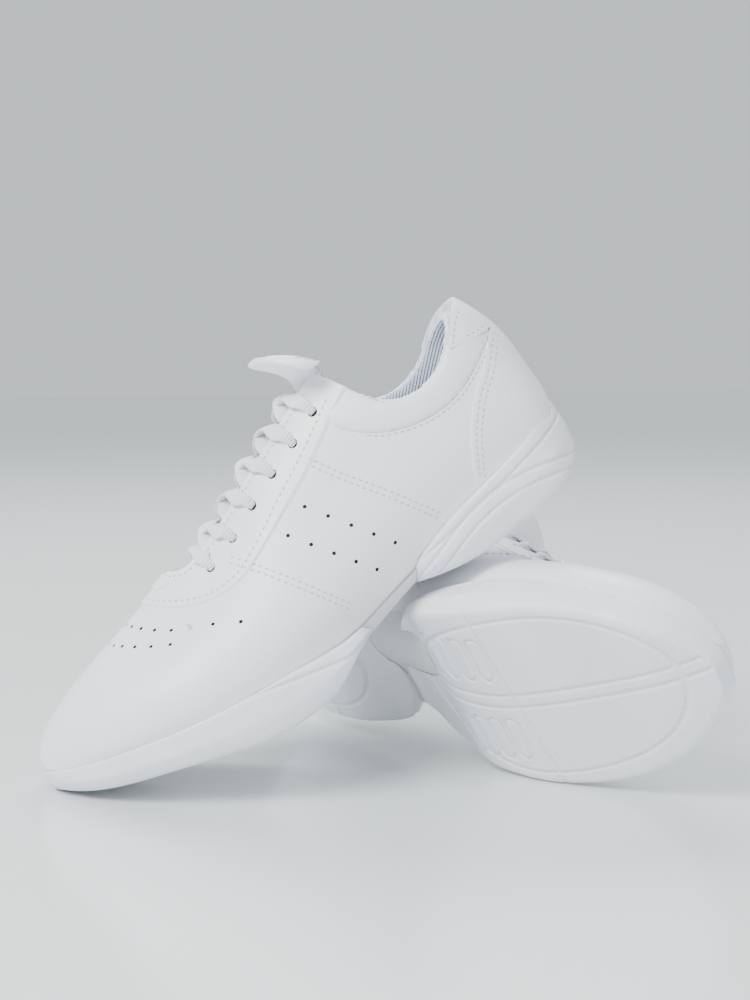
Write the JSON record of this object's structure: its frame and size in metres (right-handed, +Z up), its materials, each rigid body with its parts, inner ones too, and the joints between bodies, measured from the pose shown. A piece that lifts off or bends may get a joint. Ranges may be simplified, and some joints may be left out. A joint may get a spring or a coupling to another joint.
{
  "type": "cheer shoes",
  "caption": "Pair of white low-cut laced cheer shoes with padded collars and split soles, one leaning on the other.",
  "frame": {"origin": "centre of the box round the resting pair, at floor level", "axes": "+Z up from the floor, +X along the leaning left shoe from its toe to its heel, +Y away from the viewer"},
  "size_m": [0.2578, 0.2414, 0.1941],
  "materials": {
    "white_upper": "smooth white coated synthetic leather, fine grain",
    "white_overlay": "smooth white coated synthetic leather, folded and double stitched edges",
    "lining_textile": "bluish white ribbed knitted lining",
    "padding_foam": "soft open-cell foam",
    "tongue_mesh": "grey-white spacer mesh",
    "lace_textile": "flat woven white lace",
    "aglet_film": "clear film lace tips",
    "sole_rubber": "white moulded outsole rubber, slightly glossy",
    "stiffener_plastic": "moulded sheet",
    "board_fabric": "needled insole board"
  },
  "bodies": {
    "right_shoe": {"right_aglet_lateral": "aglet_film", "right_aglet_medial": "aglet_film", "right_arch_plate": "stiffener_plastic", "right_collar_foam": "padding_foam", "right_collar_lining": "lining_textile", "right_collar_panel": "white_upper", "right_eyestay": "white_overlay", "right_forefoot_sole": "sole_rubber", "right_heel_counter": "white_overlay", "right_heel_sole": "sole_rubber", "right_heel_stiffener": "stiffener_plastic", "right_heel_tab": "white_overlay", "right_insole_board": "board_fabric", "right_lace": "lace_textile", "right_lace_keeper": "lace_textile", "right_quarter_lateral": "white_upper", "right_quarter_lining": "lining_textile", "right_quarter_medial": "white_upper", "right_saddle_lateral": "white_upper", "right_saddle_medial": "white_upper", "right_sock_liner": "lining_textile", "right_throat_patch": "white_overlay", "right_toe_puff": "stiffener_plastic", "right_tongue_lining": "lining_textile", "right_tongue_mesh": "tongue_mesh", "right_vamp": "white_upper", "right_vamp_lining": "lining_textile"},
    "left_shoe": {"left_aglet_lateral": "aglet_film", "left_aglet_medial": "aglet_film", "left_arch_plate": "stiffener_plastic", "left_collar_foam": "padding_foam", "left_collar_lining": "lining_textile", "left_collar_panel": "white_upper", "left_eyestay": "white_overlay", "left_forefoot_sole": "sole_rubber", "left_heel_counter": "white_overlay", "left_heel_sole": "sole_rubber", "left_heel_stiffener": "stiffener_plastic", "left_heel_tab": "white_overlay", "left_insole_board": "board_fabric", "left_lace": "lace_textile", "left_lace_keeper": "lace_textile", "left_quarter_lateral": "white_upper", "left_quarter_lining": "lining_textile", "left_quarter_medial": "white_upper", "left_saddle_lateral": "white_upper", "left_saddle_medial": "white_upper", "left_sock_liner": "lining_textile", "left_throat_patch": "white_overlay", "left_toe_puff": "stiffener_plastic", "left_tongue_lining": "lining_textile", "left_tongue_mesh": "tongue_mesh", "left_vamp": "white_upper", "left_vamp_lining": "lining_textile"},
    "left_tongue_top": {"left_tongue_cap": "white_overlay", "left_tongue_cap_lining": "lining_textile", "left_tongue_foam": "padding_foam"},
    "right_tongue_top": {"right_tongue_cap": "white_overlay", "right_tongue_cap_lining": "lining_textile", "right_tongue_foam": "padding_foam"}
  },
  "joints": [
    {"name": "lift_off", "type": "slide", "parent": "right_shoe", "child": "left_shoe", "axis": [0, 0, 1], "range_m": [0, 0.15]},
    {"name": "left_tongue_fold", "type": "hinge", "parent": "left_shoe", "child": "left_tongue_top", "pos_m": [-0.02929, -0.0174, 0.14268], "axis": [-0.0364, -0.998, 0.0512], "range_deg": [0, 12], "stiffness_Nm_per_rad": 0.05, "springref_deg": -5.73},
    {"name": "right_tongue_fold", "type": "hinge", "parent": "right_shoe", "child": "right_tongue_top", "pos_m": [0.0796, 0.04477, 0.07955], "axis": [0.4784, 0.2222, -0.8495], "range_deg": [0, 12], "stiffness_Nm_per_rad": 0.05, "springref_deg": -5.73}
  ]
}
